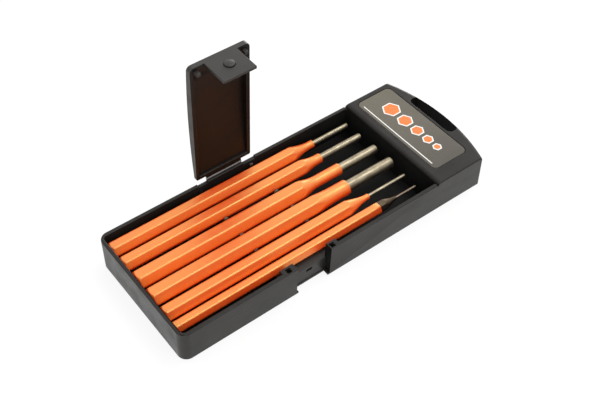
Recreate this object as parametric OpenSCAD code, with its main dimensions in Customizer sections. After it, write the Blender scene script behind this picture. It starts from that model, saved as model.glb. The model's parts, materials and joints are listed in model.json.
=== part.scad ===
// Six pin punches in a moulded case with a hinged retaining flap.
// Millimetres, +Z up. +X runs from the open end of the tray to the hang slot,
// +Y from the latch side to the hinge side. The origin is on the base, midway between the open end
// and the top of the curved end.

/* [Case] */
// Wall thickness of the moulded case
wall = 2; // [1.6:0.1:2.6]
// Thickness of the tray floor
floor_t = 2; // [1.4:0.1:3]
// Height of the tray rim above the base
wall_h = 20; // [18:0.5:26]
// Radius of the outer plan corners at the open end
corner_r = 5; // [2:0.1:6]
// Radius of the inner plan corners of the tray
inner_r = 2; // [0.5:0.1:2.4]
// Room between the punch heads and the end wall
end_gap = 0.4; // [0.2:0.1:2]
// Room between the punch tips and the head of the case
tip_room = 5.3; // [3:0.1:10]
// Room between the last punch and the latch side wall
near_room = 5.3; // [5:0.1:12]
// Room between the first punch and the hinge side wall
far_room = 1.1; // [0.5:0.1:3]

/* [Head] */
// Length of the raised head, from its front face to the middle of the curved end
head_l = 38.3; // [34:0.1:50]
// Height of the head above the rim
head_rise = 1; // [0.4:0.1:3]
// Thickness of the top skin of the head
head_skin = 2; // [1.6:0.1:3]
// Bulge of the curved end
end_bulge = 6.9; // [3:0.1:10]
// How much further the curved end reaches at the base than at the top
end_flare = 1.6; // [0.5:0.1:5]
// Radius along the top edge of the curved end
end_edge_r = 2.5; // [1:0.1:3]
// Radius along the front top edge of the head
head_edge_r = 2; // [0.6:0.1:2]

/* [Label] */
// Distance from the front of the head to the label
label_front = 5.2; // [4:0.1:9]
// Distance from the label to the middle of the curved end
label_back = 9.8; // [9.6:0.1:14]
// Distance from the latch side to the label
label_near = 8.7; // [5:0.1:14]
// Distance from the hinge side to the label
label_far = 3.4; // [3.2:0.1:10]
// Corner radius of the label
label_r = 3; // [1:0.1:4]
// Thickness of the label
label_t = 0.5; // [0.2:0.1:0.6]
// Depth of the label recess
label_deep = 0.6; // [0.4:0.1:1]
// Gap between the label and the edge of its recess
label_gap = 0.3; // [0.1:0.1:0.8]

/* [Hang slot] */
// Length of the hang slot
slot_l = 32; // [20:0.5:44]
// Width of the hang slot at its middle
slot_w = 7.4; // [6.4:0.1:7.8]
// Thickness of the bar outside the hang slot
slot_bar = 0.8; // [0.8:0.1:1.6]
// Corner radius of the hang slot
slot_r = 3; // [0.6:0.1:3.1]

/* [Punches] */
// Length of every punch
punch_l = 150; // [142:1:180]
// Across flats of the two thick punches
hex_large = 9.5; // [9:0.1:10]
// Across flats of the three middle punches
hex_mid = 8; // [7.5:0.1:8.5]
// Across flats of the thin punch
hex_small = 6; // [5.5:0.1:7]
// Bevel at the struck end, measured in from the flats
head_bevel = 0.3; // [0.1:0.1:0.8]
// Chamfer at the tip of every pin
tip_chamfer = 0.2; // [0.1:0.05:0.4]
// Gap between the first and second punch
gap_12 = 1.6; // [0.4:0.1:4]
// Gap between the second and third punch
gap_23 = 2.6; // [0.4:0.1:4]
// Gap between the third and fourth punch
gap_34 = 1.3; // [0.4:0.1:4]
// Gap between the fourth and fifth punch
gap_45 = 1; // [0.4:0.1:4]
// Gap between the fifth and sixth punch
gap_56 = 0.5; // [0.4:0.1:4]

/* [First punch] */
// Pin diameter of the first punch
pin_1 = 3; // [2.7:0.1:3.4]
// Neck diameter of the first punch
neck_1 = 4.3; // [3.8:0.1:5]
// Length of the full hexagon of the first punch
shoulder_1 = 110.5; // [100:0.5:114]
// Distance from the head to the small end of the cone of the first punch
cone_1 = 120; // [116:0.5:124]
// Distance from the head to the pin of the first punch
root_1 = 126; // [124.5:0.5:132]

/* [Second punch] */
// Pin diameter of the second punch
pin_2 = 4; // [3.6:0.1:4.4]
// Neck diameter of the second punch
neck_2 = 5.3; // [4.8:0.1:6]
// Length of the full hexagon of the second punch
shoulder_2 = 109; // [100:0.5:112]
// Distance from the head to the small end of the cone of the second punch
cone_2 = 117; // [114:0.5:120]
// Distance from the head to the pin of the second punch
root_2 = 122.5; // [121:0.5:130]

/* [Third punch] */
// Pin diameter of the third punch
pin_3 = 5; // [4.6:0.1:5.4]
// Neck diameter of the third punch
neck_3 = 6.3; // [5.8:0.1:7]
// Length of the full hexagon of the third punch
shoulder_3 = 97.5; // [90:0.5:102]
// Distance from the head to the small end of the cone of the third punch
cone_3 = 106.5; // [103:0.5:116]
// Distance from the head to the pin of the third punch
root_3 = 125; // [118:0.5:132]

/* [Fourth punch] */
// Pin diameter of the fourth punch
pin_4 = 6; // [5.6:0.1:6.6]
// Neck diameter of the fourth punch
neck_4 = 8.3; // [7.4:0.1:8.8]
// Length of the full hexagon of the fourth punch
shoulder_4 = 97; // [90:0.5:102]
// Distance from the head to the small end of the cone of the fourth punch
cone_4 = 106; // [103:0.5:114]
// Distance from the head to the pin of the fourth punch
root_4 = 119.5; // [116:0.5:130]

/* [Fifth punch] */
// Pin diameter of the fifth punch
pin_5 = 2; // [1.7:0.1:2.4]
// Neck diameter of the fifth punch
neck_5 = 3.1; // [2.6:0.1:3.6]
// Length of the full hexagon of the fifth punch
shoulder_5 = 109.5; // [100:0.5:114]
// Distance from the head to the small end of the cone of the fifth punch
cone_5 = 121; // [117:0.5:124]
// Distance from the head to the pin of the fifth punch
root_5 = 125; // [124.5:0.5:132]

/* [Sixth punch] */
// Pin diameter of the sixth punch
pin_6 = 1.5; // [1.3:0.1:1.7]
// Neck diameter of the sixth punch
neck_6 = 2; // [1.8:0.1:2.6]
// Length of the full hexagon of the sixth punch
shoulder_6 = 127.5; // [118:0.5:130]
// Distance from the head to the small end of the cone of the sixth punch
cone_6 = 135; // [132:0.5:136]
// Distance from the head to the pin of the sixth punch
root_6 = 136.5; // [136.5:0.5:139]

/* [Platform] */
// Depth of the thickest punch below the rim
bar_cover = 0.3; // [0.2:0.1:1]
// Thickness of the top skin of the platform
platform_skin = 1.2; // [1:0.1:2.4]
// Height of the comb teeth above the platform
tooth_h = 2.7; // [1.5:0.1:2.7]
// Thickness of each comb along the punches
comb_t = 2; // [1.2:0.1:4]
// Height above the platform of the ribs on the hinge side wall
rib_h = 6.8; // [4:0.1:7.2]
// Clearance between the first punch and the ribs
rib_clear = 0.2; // [0.1:0.05:0.3]
// Clearance between a punch and its comb notch
comb_clear = 0.25; // [0.15:0.05:0.3]

/* [Latch] */
// Distance along the case from the middle of the flap to the middle of the latch recess
latch_shift = 1.1; // [0:0.1:1.4]
// Distance along the case from the middle of the flap to the middle of the latch tab
tab_shift = 0.3; // [0.3:0.1:1.2]
// Width of the latch recess
recess_w = 20.6; // [20.4:0.2:21]
// Depth of the latch recess
recess_d = 3.8; // [3.4:0.1:4.2]
// Depth of the solid blocks beside the latch recess
block_d = 4.6; // [4.5:0.1:4.9]
// Distance from the middle of the flap to each peg pocket
peg_x = 13.3; // [13.2:0.1:13.8]
// Distance from the latch side face to the middle of a peg pocket
peg_y = 2.1; // [2:0.05:2.4]
// Width of a square peg
peg_w = 2; // [1.6:0.1:2.1]
// Length of a peg beyond the flap rim
peg_l = 2.5; // [1:0.1:3.5]
// Clearance round a peg in its pocket
peg_clear = 0.35; // [0.3:0.05:0.4]
// Room under a peg in its pocket
peg_under = 1; // [0.5:0.1:3]
// Width of the catch slot
catch_w = 3.6; // [2:0.1:6]
// Height of the catch slot
catch_h = 1.8; // [0.8:0.1:2]
// Clearance between the catch nose and the recess wall
nose_clear = 0.25; // [0.2:0.05:0.6]
// Clearance of the catch nose inside the outline of its slot
nose_side = 0.2; // [0.1:0.05:0.4]
// Size of the small feet at the bottom of the recess sides
foot_w = 1.1; // [0.4:0.1:1.6]
// Height of the small feet
foot_h = 1.5; // [0.6:0.1:3]

/* [Flap] */
// Distance from the open end to the middle of the flap
flap_x = 75.5; // [60:0.5:90]
// Width of the flap
flap_w = 33.8; // [33:0.2:40]
// Plan corner radius of the flap at its latch end
flap_r = 2.5; // [2.2:0.1:4]
// Plan corner radius of the flap at its hinge end
flap_foot_r = 1; // [0.4:0.1:2]
// Plan corner radius inside the flap
flap_inner_r = 0.6; // [0.3:0.1:1.5]
// Thickness of the crowned skin of the flap
flap_skin = 1.2; // [0.9:0.1:1.3]
// Thickness of the rim walls of the flap
flap_wall = 2; // [1.4:0.1:2.1]
// Depth of the flap at its hinge end
crown_hinge = 2.2; // [1.6:0.1:2.8]
// Depth of the flap at its latch end
crown_latch = 3; // [2:0.1:4]
// Rise of the crown over the straight line between its ends
crown_rise = 1.8; // [1:0.1:3]
// Gap between the closed flap and the tray rim
flap_gap = 0.2; // [0.15:0.05:0.3]
// Distance from the hinge axis to the foot of the flap
flap_foot = 2; // [1.6:0.1:3]
// How far the latch end stands out past the latch side of the case
flap_proud = 1.1; // [0.8:0.1:2]

/* [Tab] */
// Width of the latch tab
tab_w = 18.4; // [16:0.2:18.4]
// Length of the latch tab
tab_l = 15.7; // [13.5:0.1:17]
// Thickness of the latch tab
tab_t = 1.5; // [1.2:0.1:2.1]
// Corner radius at the free end of the latch tab
tab_r = 0.4; // [0.3:0.1:4]
// Diameter of the thumb button
button_d = 5.8; // [4:0.1:8]
// Height of the thumb button
button_h = 1; // [0.4:0.1:1.6]
// Distance from the flap rim to the middle of the thumb button
button_at = 7; // [5:0.1:9]

/* [Hinge] */
// Width of the living hinge
hinge_w = 22; // [14:0.5:26]
// Radius of the hinge web
web_r = 0.5; // [0.4:0.02:0.52]
// Height of the hinge axis above the rim
web_lift = 0.35; // [0.32:0.01:0.4]
// Distance of the hinge axis from the hinge side face
web_inset = 0.2; // [0.1:0.05:0.25]
// Distance from the hinge axis to the foot of the tongue
tongue_foot = 0.6; // [0.58:0.02:0.8]
// Thickness of the tongue of the flap
tongue_t = 1.2; // [0.6:0.1:1.4]
// Depth of the rim relief beside the hinge
relief_h = 1.2; // [0.4:0.1:2]
// How far the rim relief runs past the flap
relief_past = 1; // [0.2:0.1:3]

/* [Hidden] */
$fn = 96;
over = 1;
HEX = [hex_mid, hex_mid, hex_large, hex_large, hex_mid, hex_small];
PIN = [pin_1, pin_2, pin_3, pin_4, pin_5, pin_6];
NECK = [neck_1, neck_2, neck_3, neck_4, neck_5, neck_6];
SHOULDER = [shoulder_1, shoulder_2, shoulder_3, shoulder_4, shoulder_5, shoulder_6];
CONE = [cone_1, cone_2, cone_3, cone_4, cone_5, cone_6];
ROOT = [root_1, root_2, root_3, root_4, root_5, root_6];
GAP = [gap_12, gap_23, gap_34, gap_45, gap_56];
COUNT = len(HEX);
// half the width of a bar from corner to corner
function half_bar(i) = HEX[i] / sqrt(3);
function bars_from(i) = i >= COUNT ? 0 : 2 * half_bar(i) + (i < COUNT - 1 ? GAP[i] : 0) + bars_from(i + 1);
case_w = 2 * wall + far_room + bars_from(0) + near_room;
side = case_w / 2;
front_x = wall + end_gap + punch_l + tip_room;
case_l = front_x + head_l;
left = -case_l / 2;
head_x = left + front_x;
right = case_l / 2;
head_h = wall_h + head_rise;
seat_z = wall_h - bar_cover - hex_large;
punch_x = left + wall + end_gap;
// places of the bars across the tray, first one next to the hinge side
function bar_y(i) = i == 0 ? side - wall - far_room - half_bar(0)
                           : bar_y(i - 1) - half_bar(i - 1) - GAP[i - 1] - half_bar(i);
// arc of the curved end
end_r = (end_bulge * end_bulge + side * side) / (2 * end_bulge);
end_x = right - end_r;
// inner radius and foot of the rounded top edge of the curved end
edge_in = end_r + end_flare * end_edge_r / head_h - end_edge_r;
edge_z = head_h - end_edge_r;
// label
label_l = head_l - label_front - label_back;
label_w = case_w - label_near - label_far;
label_x = head_x + label_front + label_l / 2;
label_y = (label_near - label_far) / 2;
label_z = head_h - label_deep;
// flap and hinge
mid_x = left + flap_x;
latch_x = mid_x + latch_shift;
hinge_y = side - web_inset;
hinge_z = wall_h + web_lift;
rim_v = flap_gap - web_lift;
reach = hinge_y + side + flap_proud;
span_left = mid_x - flap_w / 2;
crown_du = reach - flap_foot;
crown_dv = crown_latch - crown_hinge;
crown_chord = sqrt(crown_du * crown_du + crown_dv * crown_dv);
crown_r = crown_chord * crown_chord / (8 * crown_rise) + crown_rise / 2;
crown_v = rim_v + (crown_hinge + crown_latch) / 2 + (crown_rise - crown_r) * crown_du / crown_chord;
crown_u = (flap_foot + reach) / 2 - (crown_rise - crown_r) * crown_dv / crown_chord;
flap_room = crown_hinge + crown_latch + 2 * crown_rise;
pocket_w = peg_w + 2 * peg_clear;
core_top = seat_z - platform_skin;
catch_z = core_top - catch_h / 2;
peg_u = reach - flap_proud - peg_y;
// from the inner face of the tab to just short of the recess wall
nose_l = flap_proud + recess_d - tab_t - nose_clear;

// block with the curved, flared end, set in by a wall
module end_block(start, inset, base, height) {
    top = base + height;
    intersection() {
        translate([start, inset - side, base])
            cube([2 * head_l, 2 * (side - inset), height]);
        translate([end_x, 0, base])
            cylinder(r1 = end_r - inset + end_flare * (head_h - base) / head_h,
                     r2 = end_r - inset + end_flare * (head_h - top) / head_h, h = height);
    }
}

// upright block with two rounded corners at its left end
module left_block(start, stop, half, r, base, height) {
    translate([start + r, -half, base])
        cube([stop - start - r, 2 * half, height]);
    translate([start, r - half, base])
        cube([2 * r, 2 * (half - r), height]);
    for (s = [-1, 1])
        translate([start + r, s * (half - r), base])
            cylinder(r = r, h = height);
}

// flat plate with four rounded corners
module round_plate(l, w, r, height) {
    translate([r - l / 2, -w / 2, 0])
        cube([l - 2 * r, w, height]);
    translate([-l / 2, r - w / 2, 0])
        cube([l, w - 2 * r, height]);
    for (sx = [-1, 1])
        for (sy = [-1, 1])
            translate([sx * (l / 2 - r), sy * (w / 2 - r), 0])
                cylinder(r = r, h = height);
}

// hexagonal bar along X with flats up and down
module hex_bar(flats, l) {
    rotate([0, 90, 0])
        rotate([0, 0, 30])
            cylinder(d = flats / cos(30), h = l, $fn = 6);
}

module case_shell() {
    difference() {
        union() {
            left_block(left, head_x + wall, side, corner_r, 0, wall_h);
            end_block(head_x, 0, 0, head_h);
        }
        left_block(left + wall, head_x, side - wall, inner_r, floor_t, head_h);
        end_block(head_x + wall, wall, -over, head_h - head_skin + over);
        // rounded front top edge of the head
        difference() {
            translate([head_x - over, -side - over, head_h - head_edge_r])
                cube([head_edge_r + over, 2 * (side + over), head_edge_r + over]);
            translate([head_x + head_edge_r, -side - 2 * over, head_h - head_edge_r])
                rotate([-90, 0, 0])
                    cylinder(r = head_edge_r, h = 2 * (side + 2 * over));
        }
        // rounded top edge of the curved end
        intersection() {
            translate([head_x, -side - over, 0])
                cube([2 * head_l, 2 * (side + over), head_h + over]);
            translate([end_x, 0, edge_z])
                rotate_extrude()
                    translate([edge_in, 0])
                        difference() {
                            square(end_edge_r + over);
                            circle(r = end_edge_r);
                        }
        }
        translate([label_x, label_y, label_z])
            round_plate(label_l + 2 * label_gap, label_w + 2 * label_gap, label_r + label_gap, label_deep + over);
        // hang slot, its outer edge follows the curved end
        intersection() {
            translate([end_x, 0, -over])
                cylinder(r = end_r - slot_bar, h = head_h + 2 * over);
            translate([right - slot_bar - slot_w / 2, label_y, -over])
                round_plate(slot_w, slot_l, slot_r, head_h + 2 * over);
        }
    }
}

module comb(start) {
    difference() {
        translate([start, recess_d - side, seat_z - platform_skin / 2])
            cube([comb_t, 2 * side - recess_d - wall / 2, tooth_h + platform_skin / 2]);
        for (i = [0 : COUNT - 1])
            translate([start - over, bar_y(i), seat_z + HEX[i] / 2])
                hex_bar(HEX[i] + 2 * comb_clear, comb_t + 2 * over);
    }
    // rib on the hinge side wall
    translate([start, side - wall - far_room + rib_clear, seat_z - platform_skin / 2])
        cube([comb_t, wall / 2 + far_room - rib_clear, rib_h + platform_skin / 2]);
}

module case_tray() {
    color("#3b3a39")
    difference() {
        union() {
            case_shell();
            // platform that carries the punches
            translate([span_left, recess_d - side, 0])
                cube([flap_w, 2 * side - recess_d - wall / 2, seat_z]);
            comb(span_left);
            comb(span_left + flap_w - comb_t);
            // block that the latch recess is cut from
            translate([span_left, -side, 0])
                cube([flap_w, block_d, wall_h]);
        }
        // core under the platform, open at the base
        translate([span_left + wall, recess_d + wall - side, -over])
            cube([flap_w - 2 * wall, 2 * side - recess_d - 3 * wall, core_top + over]);
        // latch recess
        translate([latch_x - recess_w / 2, -side - over, foot_h])
            cube([recess_w, recess_d + over, wall_h + over]);
        translate([latch_x - recess_w / 2, -side, seat_z])
            cube([recess_w, block_d + over, wall_h]);
        translate([latch_x - recess_w / 2 + foot_w, -side - over, -over])
            cube([recess_w - 2 * foot_w, recess_d + over, foot_h + 2 * over]);
        // catch slot
        translate([latch_x - catch_w / 2, recess_d - side - over, core_top - catch_h])
            cube([catch_w, wall + 2 * over, catch_h]);
        // peg pockets
        for (s = [-1, 1])
            translate([mid_x + s * peg_x - pocket_w / 2, peg_y - side - pocket_w / 2, wall_h - peg_l - peg_under])
                cube([pocket_w, pocket_w, peg_l + peg_under + over]);
        // lowered rim beside the hinge
        difference() {
            translate([latch_x - flap_w / 2 - relief_past, side - wall - over, wall_h - relief_h])
                cube([flap_w + 2 * relief_past, wall + 2 * over, relief_h + over]);
            translate([mid_x - hinge_w / 2, side - wall - 2 * over, wall_h - relief_h - over])
                cube([hinge_w, wall + 4 * over, relief_h + 3 * over]);
        }
        // seat of the hinge web
        translate([mid_x - hinge_w / 2 - over, hinge_y, hinge_z])
            rotate([0, 90, 0])
                cylinder(r = web_r, h = hinge_w + 2 * over);
    }
}

module label_plate() {
    color("#82807a")
    translate([label_x, label_y, label_z])
        round_plate(label_l, label_w, label_r, label_t);
}

module hinge_web() {
    color("#8a8883")
    translate([mid_x - hinge_w / 2, hinge_y, hinge_z])
        rotate([0, 90, 0])
            cylinder(r = web_r, h = hinge_w);
}

// plan of the flap as an upright plate, with its latch end and hinge end corners
module flap_plan(inset, r_latch, r_foot, start, depth) {
    half = flap_w / 2 - inset;
    low = flap_foot + inset;
    high = reach - inset;
    translate([-half, start, low + r_foot])
        cube([2 * half, depth, high - low - r_foot - r_latch]);
    translate([r_latch - half, start, high - 2 * r_latch])
        cube([2 * (half - r_latch), depth, 2 * r_latch]);
    translate([r_foot - half, start, low])
        cube([2 * (half - r_foot), depth, 2 * r_foot]);
    for (s = [-1, 1]) {
        translate([s * (half - r_latch), start, high - r_latch])
            rotate([-90, 0, 0])
                cylinder(r = r_latch, h = depth);
        translate([s * (half - r_foot), start, low + r_foot])
            rotate([-90, 0, 0])
                cylinder(r = r_foot, h = depth);
    }
}

module crown_roll(inset) {
    translate([-flap_w, crown_v, crown_u])
        rotate([0, 90, 0])
            cylinder(r = crown_r - inset, h = 2 * flap_w, $fn = 720);
}

// drawn standing open, as in the photograph
module retaining_flap() {
    color("#45403c")
    translate([mid_x, hinge_y, hinge_z]) {
        difference() {
            intersection() {
                flap_plan(0, flap_r, flap_foot_r, rim_v, flap_room);
                crown_roll(0);
            }
            intersection() {
                flap_plan(flap_wall, flap_inner_r, flap_inner_r, rim_v - over, flap_room);
                crown_roll(flap_skin);
            }
        }
        // tongue above the hinge
        translate([-hinge_w / 2, rim_v, tongue_foot])
            cube([hinge_w, tongue_t, flap_foot + flap_wall / 2 - tongue_foot]);
        // latch tab with rounded free corners
        translate([tab_shift, rim_v - tab_l / 2 + flap_wall / 4, reach - tab_t])
            tab_plate();
        // thumb button
        translate([tab_shift, rim_v - button_at, reach - tab_t / 2])
            cylinder(d = button_d, h = button_h + tab_t / 2);
        // catch nose
        translate([latch_shift + nose_side - catch_w / 2, catch_z - hinge_z - catch_h / 2 + nose_side,
                   reach - tab_t - nose_l])
            cube([catch_w - 2 * nose_side, catch_h - 2 * nose_side, nose_l + tab_t / 2]);
        // pegs that enter the pockets
        for (s = [-1, 1])
            translate([s * peg_x - peg_w / 2, rim_v - peg_l, peg_u - peg_w / 2])
                cube([peg_w, peg_l + crown_latch - flap_skin / 2, peg_w]);
    }
}

module tab_plate() {
    translate([-tab_w / 2, tab_r - tab_l / 2 - flap_wall / 4, 0])
        cube([tab_w, tab_l + flap_wall / 2 - tab_r, tab_t]);
    translate([tab_r - tab_w / 2, -tab_l / 2 - flap_wall / 4, 0])
        cube([tab_w - 2 * tab_r, 2 * tab_r, tab_t]);
    for (s = [-1, 1])
        translate([s * (tab_w / 2 - tab_r), tab_r - tab_l / 2 - flap_wall / 4, 0])
            cylinder(r = tab_r, h = tab_t);
}

// hexagonal bar turned down to a cone, a neck and a pin
module punch(i) {
    corner = half_bar(i);
    neck = NECK[i] / 2;
    run = (CONE[i] - SHOULDER[i]) / (corner - neck);
    wide = corner + over;
    face = HEX[i] / 2 - head_bevel;
    translate([punch_x, bar_y(i), seat_z + HEX[i] / 2])
        intersection() {
            hex_bar(HEX[i], punch_l);
            rotate([0, 90, 0])
                rotate_extrude()
                    polygon([[0, 0], [face, 0], [wide, wide - face], [wide, SHOULDER[i] - over * run],
                             [neck, CONE[i]], [neck, ROOT[i]], [PIN[i] / 2, ROOT[i]],
                             [PIN[i] / 2, punch_l - tip_chamfer], [PIN[i] / 2 - tip_chamfer, punch_l],
                             [0, punch_l]]);
        }
}

module punch_3mm() {
    color("#f07828") punch(0);
}

module punch_4mm() {
    color("#f07828") punch(1);
}

module punch_5mm() {
    color("#f07828") punch(2);
}

module punch_6mm() {
    color("#f07828") punch(3);
}

module punch_2mm() {
    color("#f07828") punch(4);
}

module punch_1_5mm() {
    color("#f07828") punch(5);
}

case_tray();
label_plate();
retaining_flap();
hinge_web();
punch_3mm();
punch_4mm();
punch_5mm();
punch_6mm();
punch_2mm();
punch_1_5mm();
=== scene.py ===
# Looks of a set of six pin punches in an open moulded case with a hinged retaining flap.
import json
import math
from collections import namedtuple
import bmesh
import bpy
from mathutils import Matrix, Vector


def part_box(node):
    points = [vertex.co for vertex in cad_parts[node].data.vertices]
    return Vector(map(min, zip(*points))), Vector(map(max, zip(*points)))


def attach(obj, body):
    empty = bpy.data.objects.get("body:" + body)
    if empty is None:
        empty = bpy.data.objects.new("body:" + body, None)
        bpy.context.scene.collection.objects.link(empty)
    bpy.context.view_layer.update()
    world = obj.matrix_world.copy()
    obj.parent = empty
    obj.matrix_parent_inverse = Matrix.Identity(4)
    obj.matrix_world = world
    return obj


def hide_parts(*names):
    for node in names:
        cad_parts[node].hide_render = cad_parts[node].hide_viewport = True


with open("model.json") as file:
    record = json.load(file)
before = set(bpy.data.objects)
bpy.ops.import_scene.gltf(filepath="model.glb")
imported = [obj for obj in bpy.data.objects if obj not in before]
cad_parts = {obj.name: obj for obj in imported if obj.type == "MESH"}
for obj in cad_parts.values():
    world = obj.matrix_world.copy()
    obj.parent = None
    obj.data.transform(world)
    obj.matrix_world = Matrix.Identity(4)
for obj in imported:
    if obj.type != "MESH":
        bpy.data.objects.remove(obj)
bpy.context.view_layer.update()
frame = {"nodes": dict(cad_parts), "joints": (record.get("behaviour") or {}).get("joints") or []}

MM = 0.001


def box_mm(node):
    """Lowest and highest corners of a solid, in millimetres."""
    low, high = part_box(node)
    return low / MM, high / MM


# Sizes of the solids in millimetres, from the frame where a box or the hinge gives them

case_low, case_high = box_mm("case_tray")
label_low, label_high = box_mm("label_plate")
punch_low, punch_high = box_mm("punch_3mm")
hinge = next(joint for joint in frame["joints"] if joint["name"] == "flap_hinge")
FLAP_X, HINGE_Y, HINGE_Z = (place / MM for place in hinge["pos_m"])
LEFT = case_low.x
# Half the width of the case, to the hundredth
SIDE = round(-case_low.y, 2)
HEAD_H = case_high.z
BUTTON_TOP = box_mm("retaining_flap")[1].z
PUNCH_X = punch_low.x
PUNCH_L = punch_high.x - punch_low.x
# The punches lie on the platform
SHELF_Z = punch_low.z
# Walls of the tray, and where the head starts
WALL = 2.0
WALL_H = 20.0
HEAD_X = 59.7
# Arc of the head's curved end
END_R = 102.6
END_X = -4.6
# Half the length of the platform under the flap
SHELF_HALF = 17.2
# Latch recess: its ends along the case, and its wall and the zone round it from the near face
RECESS_START = -31.7
RECESS_END = -11.1
RECESS_DEEP = 3.9
RECESS_ZONE = 5.0
# Middles of the two comb rows
COMB_LEFT_X = -38.3
COMB_RIGHT_X = -6.6
# Face of the flap's rim, painted in shade
RIM_Y = 36.64

# Tolerances in millimetres: for a level edge, and for a face on a known plane
LEVEL = 0.01
NEAR = 0.05
# Distances in millimetres within which the points of a solid, of a cut and of a rounding are one
SOLID_JOIN = 0.001
CUT_JOIN = 0.0001
ROUND_JOIN = 0.0003
# How square a face's normal is to count as facing one way: mostly, clearly and fully
MOSTLY = 0.5
CLEARLY = 0.9
FULLY = 0.995


# Mesh helpers

# Angles in degrees from which edges stay sharp, on mouldings and on bars
SHARP = 40
SHARP_BAR = 60


def mesh_object(name, verts, faces, material, sharp=SHARP):
    """Makes an object from points in millimetres, with edges sharper than the angle kept sharp."""
    mesh = bpy.data.meshes.new(name)
    mesh.from_pydata([Vector(v) * MM for v in verts], [], faces)
    mesh.validate()
    fix = bmesh.new()
    fix.from_mesh(mesh)
    bmesh.ops.recalc_face_normals(fix, faces=fix.faces)
    fix.to_mesh(mesh)
    fix.free()
    return finish_mesh(name, mesh, material, sharp)


def finish_mesh(name, mesh, material, sharp=SHARP):
    """Links a mesh as an object with smooth shading and one material."""
    mesh.shade_smooth()
    mesh.set_sharp_from_angle(angle=math.radians(sharp))
    obj = bpy.data.objects.new(name, mesh)
    bpy.context.scene.collection.objects.link(obj)
    mesh.materials.clear()
    mesh.materials.append(material)
    return obj


def flat_normals(obj):
    """Keeps large faces flat beside the small rounded ones."""
    flat = obj.modifiers.new("flat faces", "WEIGHTED_NORMAL")
    flat.keep_sharp = True


def paint_faces(obj, looks, look_of):
    """Adds a piece's further materials and gives each face the one that look_of picks."""
    for look in looks[1:]:
        obj.data.materials.append(look)
    for face in obj.data.polygons:
        face.material_index = looks.index(look_of(face.center / MM, face.normal))


def ring_loft(rings):
    """Joins closed rings of points, all of one length, into a skin with a fan cap at each end."""
    n = len(rings[0])
    verts = [p for ring in rings for p in ring]
    faces = []
    for k in range(len(rings) - 1):
        for i in range(n):
            j = (i + 1) % n
            faces.append((k * n + i, k * n + j, (k + 1) * n + j, (k + 1) * n + i))
    for end in (0, len(rings) - 1):
        verts.append(tuple(sum(p[axis] for p in rings[end]) / n for axis in range(3)))
        for i in range(n):
            faces.append((end * n + i, end * n + (i + 1) % n, len(verts) - 1))
    return verts, faces


def solid_copy(node):
    """A working copy of a solid's mesh with its doubled points joined."""
    bm = bmesh.new()
    bm.from_mesh(frame["nodes"][node].data)
    bmesh.ops.remove_doubles(bm, verts=bm.verts, dist=SOLID_JOIN * MM)
    return bm


# Angle in degrees up to which neighbouring faces lie in one plane
FLAT = 0.4
# Least angle in degrees of an edge that is rounded, and the faces across a rounding
ROUND_FROM = 28
ROUND_STEPS = 3


def join_flats(bm):
    """Joins faces that lie in one plane."""
    bmesh.ops.dissolve_limit(bm, angle_limit=math.radians(FLAT), verts=bm.verts, edges=bm.edges)


def round_edges(bm, width_of):
    """Rounds the outer edges of a mesh.

    width_of takes an edge's ends and the normals beside it, and gives its rounding in millimetres or zero.
    """
    weight = bm.edges.layers.float.new("bevel_weight_edge")
    widths = {}
    for e in bm.edges:
        if len(e.link_faces) != 2 or not e.is_convex or e.calc_face_angle(0) < math.radians(ROUND_FROM):
            continue
        a = e.verts[0].co / MM
        b = e.verts[1].co / MM
        width = width_of(a, b, e.link_faces[0].normal, e.link_faces[1].normal)
        if width:
            widths[e] = width
    widest = max(widths.values())
    for e, width in widths.items():
        e[weight] = width / widest
    mesh = bpy.data.meshes.new("rounding")
    bm.to_mesh(mesh)
    bm.free()
    obj = bpy.data.objects.new("rounding", mesh)
    bpy.context.scene.collection.objects.link(obj)
    bevel = obj.modifiers.new("rounding", "BEVEL")
    bevel.limit_method = "WEIGHT"
    bevel.width = widest * MM
    bevel.segments = ROUND_STEPS
    bevel.use_clamp_overlap = False
    bevel.loop_slide = False
    graph = bpy.context.evaluated_depsgraph_get()
    done = bpy.data.meshes.new_from_object(obj.evaluated_get(graph))
    bpy.data.objects.remove(obj)
    clean = bmesh.new()
    clean.from_mesh(done)
    bmesh.ops.remove_doubles(clean, verts=clean.verts, dist=ROUND_JOIN * MM)
    clean.to_mesh(done)
    clean.free()
    return done


# Material helpers

def new_material(name):
    """A node material with its principled shader."""
    mat = bpy.data.materials.new(name)
    mat.use_nodes = True
    return mat, mat.node_tree, mat.node_tree.nodes["Principled BSDF"]


def add(tree, kind, inputs=None, **settings):
    """Adds one shader node, with its settings and the values of its named inputs."""
    node = tree.nodes.new("ShaderNode" + kind)
    for key, value in settings.items():
        setattr(node, key, value)
    for key, value in (inputs or {}).items():
        node.inputs[key].default_value = value
    return node


def noise(tree, per_metre, detail, stretch=None):
    """Noise over the piece's own coordinates, stretched along its axes if asked."""
    out = add(tree, "TexCoord").outputs["Object"]
    if stretch:
        mapping = add(tree, "Mapping", {"Scale": stretch})
        tree.links.new(out, mapping.inputs["Vector"])
        out = mapping.outputs["Vector"]
    tex = add(tree, "TexNoise", {"Scale": per_metre, "Detail": detail, "Roughness": 0.55})
    tree.links.new(out, tex.inputs["Vector"])
    return tex.outputs["Fac"]


def ramp(tree, source, stops):
    """A colour ramp over a value, as pairs of position and colour."""
    node = add(tree, "ValToRGB")
    line = node.color_ramp
    line.elements[0].position = stops[0][0]
    line.elements[0].color = (*stops[0][1], 1)
    line.elements[1].position = stops[-1][0]
    line.elements[1].color = (*stops[-1][1], 1)
    for place, colour in stops[1:-1]:
        line.elements.new(place).color = (*colour, 1)
    tree.links.new(source, node.inputs["Fac"])
    return node.outputs["Color"]


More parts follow.
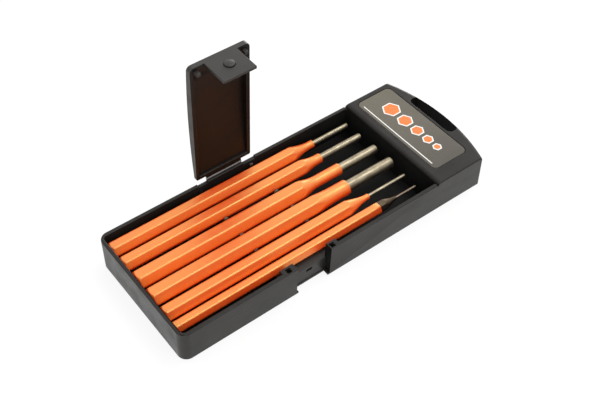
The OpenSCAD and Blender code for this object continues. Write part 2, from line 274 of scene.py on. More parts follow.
def span(tree, source, low, high, start=0.3, end=0.7):
    """Maps a value onto a range."""
    node = add(tree, "MapRange", {"From Min": start, "From Max": end, "To Min": low, "To Max": high})
    tree.links.new(source, node.inputs["Value"])
    return node.outputs["Result"]


def bump(tree, height, strength, distance, normal=None):
    """A bump from a height value, on top of another bump if one is given."""
    node = add(tree, "Bump", {"Strength": strength, "Distance": distance})
    tree.links.new(height, node.inputs["Height"])
    if normal:
        tree.links.new(normal, node.inputs["Normal"])
    return node.outputs["Normal"]


def mix(tree, factor, first, second):
    """Mixes a colour from a node with a plain colour, by a factor."""
    node = add(tree, "Mix", data_type="RGBA")
    colours = [socket for socket in node.inputs if socket.type == "RGBA"]
    tree.links.new(factor, node.inputs["Factor"])
    tree.links.new(first, colours[0])
    colours[1].default_value = (*second, 1)
    return next(socket for socket in node.outputs if socket.type == "RGBA")


def combine(tree, operation, first, second):
    """Two values joined by one operation."""
    node = add(tree, "Math", operation=operation)
    tree.links.new(first, node.inputs[0])
    tree.links.new(second, node.inputs[1])
    return node.outputs["Value"]


def edge_mask(tree, radius, patches):
    """Near one along edges and corners, broken up by noise."""
    soft = add(tree, "Bevel", {"Radius": radius}, samples=4)
    shape = add(tree, "NewGeometry")
    dot = add(tree, "VectorMath", operation="DOT_PRODUCT")
    tree.links.new(soft.outputs["Normal"], dot.inputs[0])
    tree.links.new(shape.outputs["Normal"], dot.inputs[1])
    edge = span(tree, dot.outputs["Value"], low=1.0, high=0.0, start=0.75, end=0.98)
    worn = span(tree, noise(tree, patches, detail=4), low=0.0, high=1.0, start=0.42, end=0.68)
    return combine(tree, "MULTIPLY", edge, worn)


def dress(tree, shader, colour, rough, normal):
    """Feeds a shader's colour, roughness and normal."""
    tree.links.new(colour, shader.inputs["Base Color"])
    tree.links.new(rough, shader.inputs["Roughness"])
    tree.links.new(normal, shader.inputs["Normal"])


# Materials

def plastic(name, dark, light, worn, level, rough=0.4):
    """Moulded plastic with fine grain, faint mottling, rubbed patches and paler edges."""
    mat, tree, shader = new_material(name)
    mottle = ramp(tree, noise(tree, 75, detail=5), [(0.3, dark), (0.7, light)])
    colour = mix(tree, edge_mask(tree, radius=0.5 * MM, patches=240), mottle, worn)
    rub = noise(tree, 110, detail=4, stretch=(0.35, 1.0, 1.0))
    grain = bump(tree, noise(tree, 1900, detail=2), strength=0.1, distance=0.06 * MM)
    waves = bump(tree, noise(tree, 45, detail=2), strength=0.05, distance=0.4 * MM, normal=grain)
    dress(tree, shader, colour, span(tree, rub, rough, rough + 0.16), waves)
    shader.inputs["Specular IOR Level"].default_value = level
    return mat


def enamel(name, deep, bright, thin):
    """Stoving enamel with a slight orange peel and thin paint along the ridges."""
    mat, tree, shader = new_material(name)
    flow = noise(tree, 160, detail=4, stretch=(0.3, 1.0, 1.0))
    tone = ramp(tree, flow, [(0.3, deep), (0.7, bright)])
    colour = mix(tree, edge_mask(tree, radius=0.6 * MM, patches=260), tone, thin)
    rough = span(tree, noise(tree, 150, detail=3), low=0.36, high=0.44)
    peel = bump(tree, noise(tree, 420, detail=2), strength=0.025, distance=0.08 * MM)
    dress(tree, shader, colour, rough, peel)
    shader.inputs["IOR"].default_value = 2.05
    shader.inputs["Specular IOR Level"].default_value = 1.0
    shader.inputs["Specular Tint"].default_value = (0.66, 1.0, 0.36, 1)
    return mat


def turned_steel(name, dark, light, rough):
    """Bare steel with fine lengthwise brushing and faint stains."""
    mat, tree, shader = new_material(name)
    stain = noise(tree, 320, detail=5, stretch=(0.6, 1.0, 1.0))
    colour = ramp(tree, stain, [(0.3, dark), (0.68, light)])
    lines = noise(tree, 260, detail=3, stretch=(0.5, 14.0, 14.0))
    brushed = span(tree, lines, rough - 0.08, rough + 0.1)
    dress(tree, shader, colour, brushed, bump(tree, lines, strength=0.2, distance=0.04 * MM))
    shader.inputs["Metallic"].default_value = 1.0
    return mat


# Places across the case between which painted light changes the label film's tone, in millimetres
PAINTED_LIGHT_LOW_Y = -27
PAINTED_LIGHT_HIGH_Y = 33


def label_film(name):
    """Satin printed film with painted light: paler at the hinge side and darker at the latch side."""
    mat, tree, shader = new_material(name)
    split = add(tree, "SeparateXYZ")
    tree.links.new(add(tree, "TexCoord").outputs["Object"], split.inputs["Vector"])
    along = span(tree, split.outputs["Y"], low=0.0, high=1.0, start=PAINTED_LIGHT_LOW_Y * MM, end=PAINTED_LIGHT_HIGH_Y * MM)
    shade = ramp(tree, along, [(0.0, (0.052, 0.046, 0.035)), (0.45, (0.085, 0.076, 0.056)),
                               (1.0, (0.102, 0.089, 0.061))])
    dots = span(tree, noise(tree, 2600, detail=2), low=0.0, high=0.1, start=0.4, end=0.65)
    colour = mix(tree, dots, shade, (0.25, 0.225, 0.17))
    rough = span(tree, noise(tree, 120, detail=4), low=0.5, high=0.62)
    grain = bump(tree, noise(tree, 900, detail=2), strength=0.06, distance=0.05 * MM)
    dress(tree, shader, colour, rough, grain)
    return mat


def print_ink(name, first, second):
    """Printed ink with a faint screen grain."""
    mat, tree, shader = new_material(name)
    colour = ramp(tree, noise(tree, 1500, detail=3), [(0.3, first), (0.7, second)])
    rough = span(tree, noise(tree, 300, detail=3), low=0.36, high=0.5)
    grain = bump(tree, noise(tree, 1700, detail=2), strength=0.08, distance=0.04 * MM)
    dress(tree, shader, colour, rough, grain)
    return mat


case_black = plastic("case_black_plastic", dark=(0.018, 0.0168, 0.0152), light=(0.024, 0.0225, 0.0204),
                     worn=(0.055, 0.052, 0.048), level=0.2, rough=0.24)
# Painted shade: a darker copy of the case plastic for the tray's inside, the flap's inner floor and the
# button's side
painted_shade_black = plastic("inner_black_plastic", dark=(0.008, 0.0077, 0.0074), light=(0.012, 0.0115, 0.011),
                      worn=(0.03, 0.029, 0.028), level=0.12, rough=0.5)
# Painted deep shade: a near-black copy of the case plastic for the head's slot and hollow and the recess's
# right end
painted_deep_shade_black = plastic("deep_black_plastic", dark=(0.004, 0.0038, 0.0034), light=(0.006, 0.0057, 0.0052),
                     worn=(0.014, 0.0133, 0.0125), level=0.06, rough=0.55)
# Painted light: a paler, glossier copy of the case plastic for the platform beside the flap
painted_light_shelf_black = plastic("shelf_black_plastic", dark=(0.024, 0.023, 0.0215), light=(0.033, 0.0315, 0.0295),
                      worn=(0.05, 0.048, 0.045), level=0.35)
flap_black = plastic("flap_black_plastic", dark=(0.015, 0.0138, 0.0115), light=(0.022, 0.0205, 0.0172),
                     worn=(0.06, 0.057, 0.052), level=0.5)
# Painted shade: a near-black copy of the flap plastic for the flap's inside walls and its rim face
flap_painted_shade = plastic("flap_inner_plastic", dark=(0.003, 0.0026, 0.0022), light=(0.0045, 0.004, 0.0034),
                     worn=(0.015, 0.0135, 0.012), level=0.26, rough=0.34)
tip_grey = plastic("pale_tip_plastic", dark=(0.085, 0.064, 0.05), light=(0.12, 0.092, 0.074),
                   worn=(0.14, 0.11, 0.09), level=0.4)
web_grey = plastic("web_whitened_plastic", dark=(0.15, 0.145, 0.14), light=(0.26, 0.25, 0.24),
                   worn=(0.3, 0.29, 0.28), level=0.4)
orange_paint = enamel("orange_enamel", deep=(0.84, 0.05, 0.002), bright=(0.9, 0.074, 0.004),
                      thin=(0.86, 0.11, 0.011))
pin_steel = turned_steel("turned_pin_steel", dark=(0.25, 0.215, 0.15), light=(0.4, 0.35, 0.25),
                         rough=0.36)
dark_steel = turned_steel("dark_bare_steel", dark=(0.075, 0.055, 0.034), light=(0.135, 0.1, 0.066),
                          rough=0.4)
brown_steel = turned_steel("brown_pin_steel", dark=(0.16, 0.12, 0.09), light=(0.26, 0.2, 0.15),
                           rough=0.4)
film_grey = label_film("label_grey_film")
ink_orange = print_ink("label_orange_ink", (0.8, 0.16, 0.02), (0.86, 0.2, 0.03))
ink_white = print_ink("label_white_ink", (0.74, 0.73, 0.7), (0.82, 0.81, 0.78))


# Case: the solid with moulded edges

# Roundings of its edges: foot, rim, peg pockets, and the slot and label recess in the head's top
FOOT_ROUND = 0.6
RIM_ROUND = 0.45
POCKET_ROUND = 0.2
HEAD_TOP_ROUND = 0.2
# Edges of the peg pockets, from the near face
POCKET_NEAR = 0.6
POCKET_FAR = 3.6
# The walls' rim runs this far past the head's start
RIM_PAST = 0.3
# The head's top keeps its rounded edges this far from its start and from its sides
TOP_FROM_START = 3.0
TOP_FROM_SIDE = 1.2
# Rounding along the head's two sides, its steps, and where it fades out beside the tray's walls
HEAD_SIDE_R = 0.9
HEAD_SIDE_STEPS = 6
HEAD_START = HEAD_X + 0.2
FADE_LENGTH = 2.0
FADE_HEIGHT = 0.8
# Below this depth the head's end face counts as upright
CROWN_DEEP = 3.0
# Margins that tell inner faces, painted in shade, from outer ones: at a wall, under the rim, and round the
# head
WALL_MARGIN = 0.1
RIM_MARGIN = 0.5
HEAD_START_MARGIN = 1.0
HEAD_SIDE_MARGIN = 1.5
HEAD_END_MARGIN = 0.5
HEAD_TOP_MARGIN = 0.3
# Faces that look into the recess within this distance of its right end get painted deep shade
RECESS_END_REACH = 0.6


def in_head(v):
    """Whether a point belongs to the head."""
    return v.co.x > HEAD_START * MM


def cut_head_side(bm, sign):
    """Cuts rows of faces beside one side face of the head, for its rounding."""
    for k in range(1, HEAD_SIDE_STEPS + 1):
        place = sign * (SIDE - HEAD_SIDE_R * k / HEAD_SIDE_STEPS) * MM
        verts = [v for v in bm.verts if in_head(v)]
        edges = [e for e in bm.edges if all(in_head(v) for v in e.verts)]
        faces = [f for f in bm.faces if all(in_head(v) for v in f.verts) and abs(f.normal.y) < FULLY]
        bmesh.ops.bisect_plane(bm, geom=verts + edges + faces, dist=CUT_JOIN * MM,
                               plane_co=(0, place, 0), plane_no=(0, sign, 0))


def head_normal(v):
    """Mean normal of the faces that meet the head's side at a point, or none."""
    normal = Vector((0, 0, 0))
    for f in v.link_faces:
        if abs(f.normal.y) < FULLY and f.normal.z > -CLEARLY:
            normal += f.normal * f.calc_area()
    if normal.length < 1e-12:
        return None
    if v.co.z < (HEAD_H - CROWN_DEEP) * MM:
        normal.z = 0
    return normal.normalized()


def round_head_side(bm, sign):
    """Rounds the edges along one side face of the head, round the corners and down to the base."""
    cut_head_side(bm, sign)
    side_normal = Vector((0, sign, 0))
    moves = []
    for v in bm.verts:
        depth = SIDE - sign * v.co.y / MM
        normal = head_normal(v) if in_head(v) and depth <= HEAD_SIDE_R else None
        if normal is None:
            continue
        radius = HEAD_SIDE_R
        if v.co.x < (HEAD_START + FADE_LENGTH) * MM:
            radius *= min(1.0, max(0.0, (v.co.z / MM - WALL_H) / FADE_HEIGHT))
        angle = normal.angle(side_normal)
        tangent = radius * math.tan(angle / 2)
        away = depth / math.sin(angle)
        if radius < 1e-6 or away >= tangent:
            continue
        across = (side_normal - side_normal.dot(normal) * normal).normalized()
        turn = angle * (1 - away / tangent)
        slide = across * (away - tangent + radius * math.sin(turn))
        moves.append((v, slide - normal * radius * (1 - math.cos(turn))))
    for v, shift in moves:
        v.co += shift * MM


def case_edge(a, b, n1, n2):
    """Rounding of one edge of the case."""
    x, y, z = (a + b) / 2
    level = abs(a.z - b.z) < LEVEL
    if level and z < NEAR and x < HEAD_X:
        return FOOT_ROUND
    if not level or max(n1.z, n2.z) < CLEARLY:
        return 0
    if x < HEAD_X + RIM_PAST and abs(z - WALL_H) < NEAR:
        upright = min(abs(n1.z), abs(n2.z)) < 1 - CLEARLY
        pocket = upright and POCKET_NEAR < y + SIDE < POCKET_FAR
        return POCKET_ROUND if pocket else RIM_ROUND
    if abs(z - HEAD_H) < LEVEL and HEAD_X + TOP_FROM_START < x and abs(y) < SIDE - TOP_FROM_SIDE:
        return HEAD_TOP_ROUND
    return 0


def inside_tray(x, y, z):
    """Whether a place is on the inner faces of the tray, below its rim."""
    if abs(x - FLAP_X) < SHELF_HALF and y < -SIDE + RECESS_ZONE:
        return False
    along = LEFT + WALL - WALL_MARGIN < x < HEAD_X + WALL_MARGIN
    across = abs(y) < SIDE - WALL + WALL_MARGIN
    return along and across and WALL_MARGIN < z < WALL_H - RIM_MARGIN


def inside_head(x, y, z):
    """Whether a place is on the walls of the hang slot or the hollow of the head."""
    along = HEAD_X + HEAD_START_MARGIN < x and math.hypot(x - END_X, y) < END_R - HEAD_END_MARGIN
    across = abs(y) < SIDE - HEAD_SIDE_MARGIN
    return along and across and WALL_MARGIN < z < HEAD_H - HEAD_TOP_MARGIN


def case_look(centre, normal):
    """The material of one face of the case: painted light on the platform beside the flap, painted deep
    shade in the head's slot and hollow and at the recess's right end, and painted shade on the tray's
    inner faces.
    """
    x, y, z = centre
    if abs(x - FLAP_X) < SHELF_HALF and abs(z - SHELF_Z) < NEAR and normal.z > CLEARLY:
        return painted_light_shelf_black
    if abs(x - RECESS_END) < RECESS_END_REACH and y < -SIDE + RECESS_ZONE and normal.x < -CLEARLY:
        return painted_deep_shade_black
    if inside_head(x, y, z):
        return painted_deep_shade_black
    return painted_shade_black if inside_tray(x, y, z) else case_black


bm = solid_copy("case_tray")
for sign in (-1, 1):
    round_head_side(bm, sign)
join_flats(bm)
case = finish_mesh("case_moulding", round_edges(bm, case_edge), case_black)
paint_faces(case, [case_black, painted_shade_black, painted_light_shelf_black, painted_deep_shade_black], case_look)
flat_normals(case)
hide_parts("case_tray")
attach(case, "case")


# Flap: the solid with moulded edges and a domed button

# Roundings of its edges
FLAP_ROUND = 0.25
BUTTON_ROUND = 0.35
# The dome's rings, and how far its edge drops below its middle
BUTTON_RINGS = 5
BUTTON_DROP = 0.6
# Painted shade on the button's side: its reach below the top, and the upward part of the normal that it
# stays under
BUTTON_DARK_H = 0.95
BUTTON_DARK_NORMAL = 0.86
# Inner panel, painted in shade: its half length, and its ends from the hinge
PANEL_HALF = 15.0
PANEL_LOW = 3.9
PANEL_HIGH = 73.0


def flap_edge(a, b, n1, n2):
    """Rounding of one edge of the flap."""
    return BUTTON_ROUND if (a.z + b.z) / 2 > BUTTON_TOP - BUTTON_DROP - NEAR else FLAP_ROUND


def dome_button(bm):
    """Turns the flat top of the latch button into a low dome."""
    top = max((f for f in bm.faces if f.normal.z > FULLY), key=lambda f: f.calc_center_median().z)
    centre = top.calc_center_median()
    radius = max((v.co - centre).length for v in top.verts)
    for _ in range(BUTTON_RINGS):
        bmesh.ops.inset_individual(bm, faces=[top], thickness=radius / (BUTTON_RINGS + 1))
    for v in bm.verts:
        away = math.hypot(v.co.x - centre.x, v.co.y - centre.y) / radius
        if v.co.z > centre.z - SOLID_JOIN * MM and away < 1.01:
            v.co.z = centre.z - BUTTON_DROP * MM * away * away


def inside_flap(centre, normal):
    """Whether a face is on the inside of the flap."""
    x, y, z = centre
    within = abs(x - FLAP_X) < PANEL_HALF and PANEL_LOW < z - HINGE_Z < PANEL_HIGH
    return within and normal.y < MOSTLY and y > HINGE_Y + NEAR


def flap_look(centre, normal):
    """The material of one face of the flap, with painted shade inside it, on its rim face and on the
    button's side.
    """
    if inside_flap(centre, normal):
        return painted_shade_black if normal.z > MOSTLY else flap_painted_shade
    if normal.y < -CLEARLY and abs(centre.y - RIM_Y) < NEAR:
        return flap_painted_shade
    if centre.z > BUTTON_TOP - BUTTON_DARK_H and normal.z < BUTTON_DARK_NORMAL:
        return painted_shade_black
    return flap_black


bm = solid_copy("retaining_flap")
join_flats(bm)
dome_button(bm)
flap = finish_mesh("flap_moulding", round_edges(bm, flap_edge), flap_black)
paint_faces(flap, [flap_black, flap_painted_shade, painted_shade_black], flap_look)
flat_normals(flap)
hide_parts("retaining_flap")
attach(flap, "flap")


# Living hinge

web = frame["nodes"]["hinge_web"]
web.data.materials.clear()
web.data.materials.append(web_grey)


# Low lip along the foot of the recess wall

# Section: distance from the near face, and height
LIP_SECTION = ((RECESS_DEEP, 0.1), (3.45, 0.1), (3.45, 1.25), (3.5, 1.4), (3.62, 1.5), (RECESS_DEEP, 1.5))
LIP_END_GAP = 1.1

lip_ends = (RECESS_START + LIP_END_GAP, RECESS_END - LIP_END_GAP)
lip_verts, lip_faces = ring_loft([[(x, y - SIDE, z) for y, z in LIP_SECTION] for x in lip_ends])
lip = mesh_object("recess_lip", lip_verts, lip_faces, case_black)
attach(lip, "case")


# Punches: a hexagonal bar blended into a turned cone and neck, with a bare pin

# node, body, pin diameter, neck diameter, and the shoulder, cone end and pin root from the struck end
PUNCHES = [
    ("punch_3mm", "punch_a", 3.0, 4.3, 110.5, 120.0, 126.0),
    ("punch_4mm", "punch_b", 4.0, 5.3, 109.0, 117.0, 122.5),
    ("punch_5mm", "punch_c", 5.0, 6.3, 97.5, 106.5, 125.0),
    ("punch_6mm", "punch_d", 6.0, 8.3, 97.0, 106.0, 119.5),
    ("punch_2mm", "punch_e", 2.0, 3.1, 109.5, 121.0, 125.0),
    ("punch_1_5mm", "punch_f", 1.5, 2.0, 127.5, 135.0, 136.5),
]
# The smallest punch is painted only this far. Its paint is this thick and laps this far over the bare end
PAINT_END = 124.3
PAINT_T = 0.08
PAINT_LAP = 0.6
# Points round a shank and round a pin, and the steps along a shank: where it changes and elsewhere
SHANK_POINTS = 96
PIN_POINTS = 48
FINE_STEP = 0.22
COARSE_STEP = 4.0
# Finely divided lengths at the struck end and on both sides of the cone
STRUCK_SPAN = 1.8
CONE_SPAN = 3.0
# Roundings of the ridges, the shoulder, the neck and the turned bevel at the struck end
RIDGE_R = 1.1
SHOULDER_BLEND = 0.22
NECK_BLEND = 0.9
BEVEL_IN = 0.5
BEVEL_BLEND = 0.4
# Rounded ends of the shanks and of the bare end
STRUCK_ROUND = 0.2
NECK_ROUND = 0.25
PAINT_ROUND = 0.12
BARE_START_ROUND = 0.1
BARE_END_ROUND = 0.2
# A pin starts this deep in its shank and is divided along its length
PIN_SUNK = 1.0
PIN_STEPS = 12
# Rounded tip of a pin: distance from its end, and depth below its side
PIN_TIP = ((0.22, 0.0), (0.15, 0.02), (0.05, 0.11), (0.01, 0.19), (0.0, 0.28))

Bar = namedtuple("Bar", "flats neck shoulder cone y z")


def soft_min(a, b, k):
    """The smaller of two lengths, with the corner between them rounded over about k."""
    h = max(k - abs(a - b), 0.0) / k
    return min(a, b) - h * h * k / 4


def soft_max(a, b, k):
    """The larger of two lengths, rounded in the same way."""
    return -soft_min(-a, -b, k)


def hex_radius(angle, flats):
    """Distance from the axis to a hexagon with flats up and down and rounded ridges."""
    turn = math.radians(60)
    off = (angle + turn / 2) % turn - turn / 2
    apothem = flats / 2
    inner = apothem - RIDGE_R
    if abs(off) <= math.atan(inner * math.tan(turn / 2) / apothem):
        return apothem / math.cos(off)
    reach = inner / math.cos(turn / 2)
    ahead = turn / 2 - abs(off)
    half = reach * math.sin(ahead)
    return reach * math.cos(ahead) + math.sqrt(RIDGE_R * RIDGE_R - half * half)


def turned_radius(x, bar):
    """Radius of the turned end at a place along the punch."""
    corner = bar.flats / math.sqrt(3)
    slope = (corner - bar.neck / 2) / (bar.cone - bar.shoulder)
    return soft_max(corner - (x - bar.shoulder) * slope, bar.neck / 2, NECK_BLEND)


def axis_ring(x, radii, bar):
    """One ring round a punch's axis, counted from its top, with a radius for each point."""
    ring = []
    for k, r in enumerate(radii):
        angle = 2 * math.pi * k / len(radii)
        ring.append((PUNCH_X + x, bar.y - r * math.sin(angle), bar.z + r * math.cos(angle)))
    return ring


def shank_ring(x, inset, bar):
    """One ring of a shank, pulled in by an inset."""
    turned = turned_radius(x, bar)
    bevel = bar.flats / 2 - BEVEL_IN + x
    radii = []
    for k in range(SHANK_POINTS):
        hexagonal = hex_radius(2 * math.pi * k / SHANK_POINTS, bar.flats)
        radii.append(soft_min(soft_min(hexagonal, turned, SHOULDER_BLEND), bevel, BEVEL_BLEND) - inset)
    return axis_ring(x, radii, bar)


def arc_inset(past, radius):
    """How far a rounded end is pulled in at a place past the start of its rounding."""
    share = min(1.0, past / radius)
    return radius * (1 - math.sqrt(1 - share * share))


def shank_places(bar, start, end, round_end):
    """Places of the rings along a shank: close together where its shape changes."""
    marks = [start, start + STRUCK_SPAN, bar.shoulder - CONE_SPAN, bar.cone + CONE_SPAN, end - round_end]
    for k in range(1, len(marks)):
        marks[k] = min(max(marks[k], marks[k - 1]), end - round_end)
    marks.append(end)
    steps = (FINE_STEP, COARSE_STEP, FINE_STEP, COARSE_STEP, FINE_STEP)
    places = []
    for low, high, step in zip(marks[:-1], marks[1:], steps):
        count = math.ceil((high - low) / step - 1e-6)
        places += [low + (high - low) * k / count for k in range(count)]
    return places + [end]


def shank(name, material, bar, start, end, round_start, round_end):
    """Part of a shank between two places, with rounded ends."""
    rings = []
    for x in shank_places(bar, start, end, round_end):
        inset = 0.0
        if x < start + round_start:
            inset = arc_inset(start + round_start - x, round_start)
        if x > end - round_end:
            inset = arc_inset(x - end + round_end, round_end)
        rings.append(shank_ring(x, inset, bar))
    verts, faces = ring_loft(rings)
    return mesh_object(name, verts, faces, material, SHARP_BAR)


def pin(name, material, bar, root, radius):
    """A round bare pin with a rounded tip, from inside its shank to the end of the punch."""
    start = root - PIN_SUNK
    profile = [(start + (PUNCH_L - start) * k / PIN_STEPS, radius) for k in range(PIN_STEPS)]
    profile += [(PUNCH_L - back, radius - deep) for back, deep in PIN_TIP]
    verts, faces = ring_loft([axis_ring(x, [r] * PIN_POINTS, bar) for x, r in profile])
    return mesh_object(name, verts, faces, material)


for node, body, pin_d, neck, shoulder, cone, root in PUNCHES:
    low, high = box_mm(node)
    middle = (low + high) / 2
    bar = Bar(high.z - low.z, neck, shoulder, cone, middle.y, middle.z)
    if node == "punch_1_5mm":
        painted = shank(node + "_shank", orange_paint, bar, 0.0, PAINT_END, STRUCK_ROUND, PAINT_ROUND)
        bare_bar = bar._replace(flats=bar.flats - 2 * PAINT_T)
        steel = [shank(node + "_bare_end", dark_steel, bare_bar, PAINT_END - PAINT_LAP, root,
                       BARE_START_ROUND, BARE_END_ROUND),
                 pin(node + "_pin", brown_steel, bar, root, pin_d / 2)]
    else:
        painted = shank(node + "_shank", orange_paint, bar, 0.0, root, STRUCK_ROUND, NECK_ROUND)
        steel = [pin(node + "_pin", pin_steel, bar, root, pin_d / 2)]
    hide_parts(node)
    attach(painted, body)
    for piece in steel:
        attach(piece, body)


# Pale grey tips of the tall comb teeth between the middle punches and of the rib beside the hinge

# Room between a tooth and the punches beside it, a tip's half length, and where the teeth's tips start
TOOTH_ROOM = 0.25
TOOTH_HALF = 0.98
TOOTH_LOW = 12.6
RIB_LOW = 16.3
# Rounded top: distance below the top, and share of the thickness there
TOP_SHARES = ((0.3, 1.0), (0.16, 0.94), (0.06, 0.8), (0.0, 0.5))


def gap_tooth(first, second):
    """Place across the case and thickness of a tooth in the narrow gap between two punches."""
    far = box_mm(first)[0].y
    near = box_mm(second)[1].y
    return (far + near) / 2, far - near - 2 * TOOTH_ROOM


def tooth_tip(name, along, across, thick, low, top):
    """A narrow upright tooth with a rounded top, standing on the comb."""
    rings = []
    for z, share in [(low, 1.0)] + [(top - below, share) for below, share in TOP_SHARES]:
        half = thick / 2 * share
        end = TOOTH_HALF - thick / 2 * (1 - share)
        rings.append([(along + sx * end, across + sy * half, z)
                      for sx, sy in ((-1, -1), (1, -1), (1, 1), (-1, 1))])
    verts, faces = ring_loft(rings)
    return mesh_object(name, verts, faces, tip_grey)


# Places across the case and thicknesses. The tooth in the widest gap stands off its middle
WIDE_TOOTH = (12.8, 1.2)
MIDDLE_TOOTH = gap_tooth("punch_5mm", "punch_6mm")
NARROW_TOOTH = gap_tooth("punch_6mm", "punch_2mm")
RIB = (34.55, 0.96)
# name, place along the case, place across and thickness, foot, top
TIPS = [
    ("tooth_tip_1", COMB_RIGHT_X, MIDDLE_TOOTH, TOOTH_LOW, 15.5),
    ("tooth_tip_2", COMB_RIGHT_X, NARROW_TOOTH, TOOTH_LOW, 15.5),
    ("tooth_tip_3", COMB_RIGHT_X, WIDE_TOOTH, TOOTH_LOW, 15.5),
    ("tooth_tip_4", COMB_LEFT_X, WIDE_TOOTH, TOOTH_LOW, 15.6),
    ("tooth_tip_5", COMB_LEFT_X, MIDDLE_TOOTH, TOOTH_LOW, 15.7),
    ("tooth_tip_6", COMB_LEFT_X, NARROW_TOOTH, TOOTH_LOW, 15.6),
    ("rib_tip", COMB_RIGHT_X, RIB, RIB_LOW, 17.1),
]
for name, along, (across, thick), low, top in TIPS:
    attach(tooth_tip(name, along, across, thick, low, top), "case")


# Label: grey film with a plain printed row of hexagons

LABEL_R = 3.0
CORNER_STEPS = 8
FILM_EDGE = 0.12
# Height of a layer of ink, how deep it starts in the film, and its rounded edge
INK = 0.03
INK_SUNK = 0.02
INK_EDGE = 0.01
# Hexagons: their shift from the label's middle, their white edges, and each one's place and flats
MARK_SHIFT = 0.8
MARK_EDGE = 0.75
MARKS = ((19.0, 9.5), (8.0, 8.2), (-1.6, 7.0), (-9.9, 5.8), (-16.9, 4.7))
# White line: its place and width, and how far it stops from the label's ends
RULE_IN = 1.5
RULE_W = 0.6
RULE_STOP = 4.0


def rounded_rectangle(low, high, r):
    """Plan outline of a rectangle with rounded corners, anticlockwise."""
    corners = ((high.x - r, high.y - r), (low.x + r, high.y - r),
               (low.x + r, low.y + r), (high.x - r, low.y + r))
    points = []
    for quarter, (cx, cy) in enumerate(corners):
        for k in range(CORNER_STEPS + 1):
            turn = math.radians(90 * (quarter + k / CORNER_STEPS))
            points.append((cx + r * math.cos(turn), cy + r * math.sin(turn)))
    return points


def hexagon(cx, cy, flats):
    """Plan outline of a hexagon."""
    r = flats / math.sqrt(3)
    turns = [math.radians(60 * k) for k in range(6)]
    return [(cx + r * math.cos(turn), cy + r * math.sin(turn)) for turn in turns]


def plate(name, outline, base, top, edge, material):
    """A flat plate over an outline with a small rounded top edge."""
    cx = sum(p[0] for p in outline) / len(outline)
    cy = sum(p[1] for p in outline) / len(outline)
    widest = max(math.hypot(p[0] - cx, p[1] - cy) for p in outline)
    rings = [[(x, y, base) for x, y in outline]]
    for degrees in (0, 30, 60, 90):
        turn = math.radians(degrees)
        scale = 1 - edge * (1 - math.cos(turn)) / widest
        z = top - edge * (1 - math.sin(turn))
        rings.append([(cx + (x - cx) * scale, cy + (y - cy) * scale, z) for x, y in outline])
    verts, faces = ring_loft(rings)
    obj = mesh_object(name, verts, faces, material)
    flat_normals(obj)
    return obj


def printed(name, outline, layers, material):
    """A thin print on the label, this many layers of ink high."""
    base = label_high.z - INK_SUNK
    ink = plate(name, outline, base, label_high.z + layers * INK, INK_EDGE, material)
    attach(ink, "case")


film_outline = rounded_rectangle(label_low, label_high, LABEL_R)
film = plate("label_film", film_outline, label_low.z, label_high.z, FILM_EDGE, film_grey)
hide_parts("label_plate")
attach(film, "case")

mark_x = (label_low.x + label_high.x) / 2 + MARK_SHIFT
for number, (place, flats) in enumerate(MARKS):
    printed("label_mark_edge_%d" % number, hexagon(mark_x, place, flats), 1, ink_white)
    printed("label_mark_%d" % number, hexagon(mark_x, place, flats - 2 * MARK_EDGE), 2, ink_orange)
rule_x = label_low.x + RULE_IN
rule_low = label_low.y + RULE_STOP
rule_high = label_high.y - RULE_STOP
printed("label_rule", [(rule_x, rule_low), (rule_x + RULE_W, rule_low),
                       (rule_x + RULE_W, rule_high), (rule_x, rule_high)], 1, ink_white)


# Floor

# Half width of the floor and its drop below the case, in metres
FLOOR_REACH = 24
FLOOR_DROP = 0.0002
# Share of plain white in what the camera and gloss see of the floor, and its strength
WHITE_SHARE = 0.8
WHITE_STRENGTH = 1.04


def seen_rays(tree):
    """One for rays from the camera, in gloss or through glass, and zero for the rest."""
    path = add(tree, "LightPath")
    direct = combine(tree, "MAXIMUM", path.outputs["Is Camera Ray"], path.outputs["Is Glossy Ray"])
    return combine(tree, "MAXIMUM", direct, path.outputs["Is Transmission Ray"])


def floor_material(name):
    """Pale floor that keeps the object's shadow and shows as white."""
    mat = bpy.data.materials.new(name)
    mat.use_nodes = True
    tree = mat.node_tree
    tree.nodes.clear()
    share = add(tree, "Math", operation="MULTIPLY")
    share.inputs[1].default_value = WHITE_SHARE
    tree.links.new(seen_rays(tree), share.inputs[0])
    matt = add(tree, "BsdfDiffuse", {"Color": (0.86, 0.86, 0.86, 1)})
    glow = add(tree, "Emission", {"Color": (1, 1, 1, 1), "Strength": WHITE_STRENGTH})
    blend = add(tree, "MixShader")
    tree.links.new(share.outputs["Value"], blend.inputs["Fac"])
    tree.links.new(matt.outputs["BSDF"], blend.inputs[1])
    tree.links.new(glow.outputs["Emission"], blend.inputs[2])
    tree.links.new(blend.outputs["Shader"], add(tree, "OutputMaterial").inputs["Surface"])
    return mat


floor_mesh = bpy.data.meshes.new("floor")
floor_corners = [(-FLOOR_REACH, -FLOOR_REACH, 0), (FLOOR_REACH, -FLOOR_REACH, 0),
                 (FLOOR_REACH, FLOOR_REACH, 0), (-FLOOR_REACH, FLOOR_REACH, 0)]
floor_mesh.from_pydata(floor_corners, [], [(0, 1, 2, 3)])
floor_mesh.materials.append(floor_material("pale_floor"))
floor = bpy.data.objects.new("floor", floor_mesh)
bpy.context.scene.collection.objects.link(floor)
floor.location.z = -FLOOR_DROP


# Light: a sky that is brightest behind and above the object, and four soft panels

SKY_TOWARDS = Vector((0.3, 0.5, 0.8)).normalized()
PANEL_TINT = (1.0, 0.97, 0.945)
# name, direction, distance and width in metres, power in watts
PANELS = [
    ("top_panel", (0.385, -0.05, 0.92), 1.1, 0.4, 3.0),
    ("front_panel", (-0.7, -0.6, 0.4), 1.2, 0.8, 4.35),
    ("right_panel", (0.2, -0.62, 0.76), 1.1, 0.4, 1.4),
    ("back_panel", (0.8, 0.59, 0.16), 1.2, 0.5, 4.8),
]

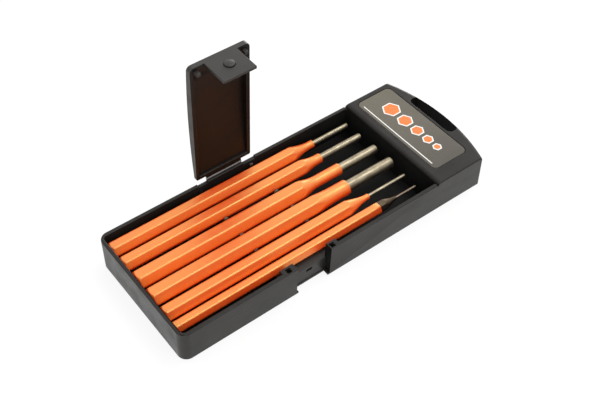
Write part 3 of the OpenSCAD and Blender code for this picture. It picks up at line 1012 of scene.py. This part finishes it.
world = bpy.data.worlds.new("studio")
bpy.context.scene.world = world
world.use_nodes = True
sky = world.node_tree
backdrop = sky.nodes["Background"]
backdrop.inputs["Color"].default_value = (1, 1, 1, 1)
facing = add(sky, "VectorMath", operation="DOT_PRODUCT")
facing.inputs[1].default_value = SKY_TOWARDS
sky.links.new(add(sky, "TexCoord").outputs["Generated"], facing.inputs[0])
strength = span(sky, facing.outputs["Value"], low=0.12, high=1.15, start=-0.45, end=0.85)
sky.links.new(strength, backdrop.inputs["Strength"])


def panel(name, direction, distance, size, power):
    """A square soft light that faces the object."""
    data = bpy.data.lights.new(name, "AREA")
    data.shape = "SQUARE"
    data.size = size
    data.energy = power
    data.color = PANEL_TINT
    lamp = bpy.data.objects.new(name, data)
    bpy.context.scene.collection.objects.link(lamp)
    towards = Vector(direction).normalized()
    lamp.location = towards * distance
    lamp.rotation_euler = towards.to_track_quat("Z", "Y").to_euler()


for name, direction, distance, size, power in PANELS:
    panel(name, direction, distance, size, power)


# Camera, at the photograph's viewing angle: solved from straight edges of the case

# The photograph's size, focal length and foot of the view axis, in pixels
IMAGE_W = 600
IMAGE_H = 400
FOCAL_PX = 935.614
CENTRE_X_PX = 254.241
CENTRE_Y_PX = 227.042
# Heading from +Y towards +X and tilt downwards, in degrees
HEADING = 36.509
TILT = 49.686
# Point on the base plane that the view axis meets, and the camera's distance from it, in metres
AIM = Vector((-0.022726, 0.010095, 0.0))
AWAY = 0.485082
# Width of the sensor in millimetres
SENSOR = 36

heading = math.radians(HEADING)
tilt = math.radians(TILT)
ahead = Vector((math.sin(heading), math.cos(heading), 0))
forward = ahead * math.cos(tilt) - Vector((0, 0, math.sin(tilt)))
right = Vector((math.cos(heading), -math.sin(heading), 0))
placed = Matrix((right, right.cross(forward), -forward)).transposed().to_4x4()
placed.translation = AIM - AWAY * forward
camera = bpy.data.objects.new("camera", bpy.data.cameras.new("camera"))
bpy.context.scene.collection.objects.link(camera)
camera.matrix_world = placed
camera.data.sensor_fit = "HORIZONTAL"
camera.data.sensor_width = SENSOR
camera.data.lens = FOCAL_PX * SENSOR / IMAGE_W
camera.data.shift_x = (IMAGE_W / 2 - CENTRE_X_PX) / IMAGE_W
camera.data.shift_y = (CENTRE_Y_PX - IMAGE_H / 2) / IMAGE_W
camera.data.clip_start = 0.01
bpy.context.scene.camera = camera
bpy.context.scene.view_settings.view_transform = "Standard"
